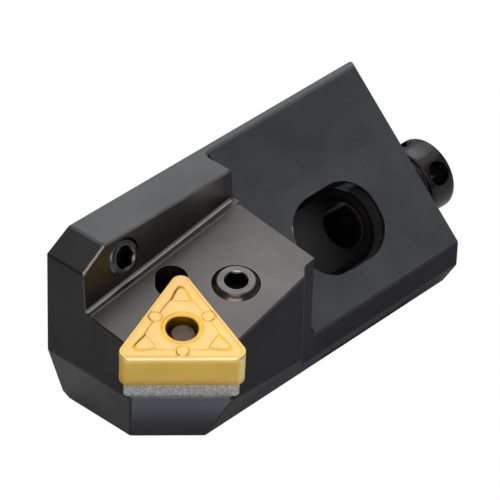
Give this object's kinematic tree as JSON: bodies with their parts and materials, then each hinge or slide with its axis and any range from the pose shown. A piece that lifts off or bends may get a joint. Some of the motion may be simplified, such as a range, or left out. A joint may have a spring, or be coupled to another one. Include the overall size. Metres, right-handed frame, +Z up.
{
  "type": "turning tool holder",
  "caption": "Short turning tool holder cartridge: a lever-clamped triangular cutting insert on a shim, a slanted tail with an oblong clamping recess, and radial and axial adjusting screws.",
  "frame": {"origin": "middle of the flat base face", "axes": "+X along the holder from the cutting end to the tail, +Y out of the tall locating face (the back), +Z up from the base face"},
  "size_m": [0.0626, 0.0242, 0.025],
  "materials": {
    "black_steel": "ground and black oxidised",
    "coated_carbide": "satin gold coating over cemented carbide",
    "bare_carbide": "as-ground, slightly granular cemented carbide",
    "spring_steel": "plain",
    "lever_steel": "hardened, brown-grey",
    "screw_steel": "black oxidised",
    "axial_screw_steel": "turned and black oxidised"
  },
  "bodies": {
    "holder": {"cartridge_body": "black_steel", "insert": "coated_carbide", "shim": "bare_carbide", "shim_sleeve": "spring_steel"},
    "lever_screw_body": {"lever_screw": "screw_steel"},
    "lever_body": {"lever": "lever_steel"},
    "radial_screw_body": {"radial_adjusting_screw": "screw_steel"},
    "axial_screw_body": {"axial_adjusting_screw": "axial_screw_steel"}
  },
  "joints": [
    {"name": "lever_screw_travel", "type": "slide", "parent": "holder", "child": "lever_screw_body", "axis": [-0.1359, -0.1359, 0.9814], "range_m": [0, 0.00042]},
    {"name": "lever_rock", "type": "hinge", "parent": "holder", "child": "lever_body", "pos_m": [-0.02027, -0.00528, 0.00652], "axis": [0.0521, -0.9902, -0.1299], "range_deg": [0, 2.5]},
    {"name": "radial_adjust", "type": "slide", "parent": "holder", "child": "radial_screw_body", "axis": [0, 0.9511, -0.309], "range_m": [-0.001, 0.0015]},
    {"name": "axial_adjust", "type": "slide", "parent": "holder", "child": "axial_screw_body", "axis": [1, 0, 0], "range_m": [-0.0015, 0.0025]}
  ],
  "couplings": [
    {"joint": "lever_rock", "follows": "lever_screw_travel", "rad_per_m": 103.5}
  ]
}
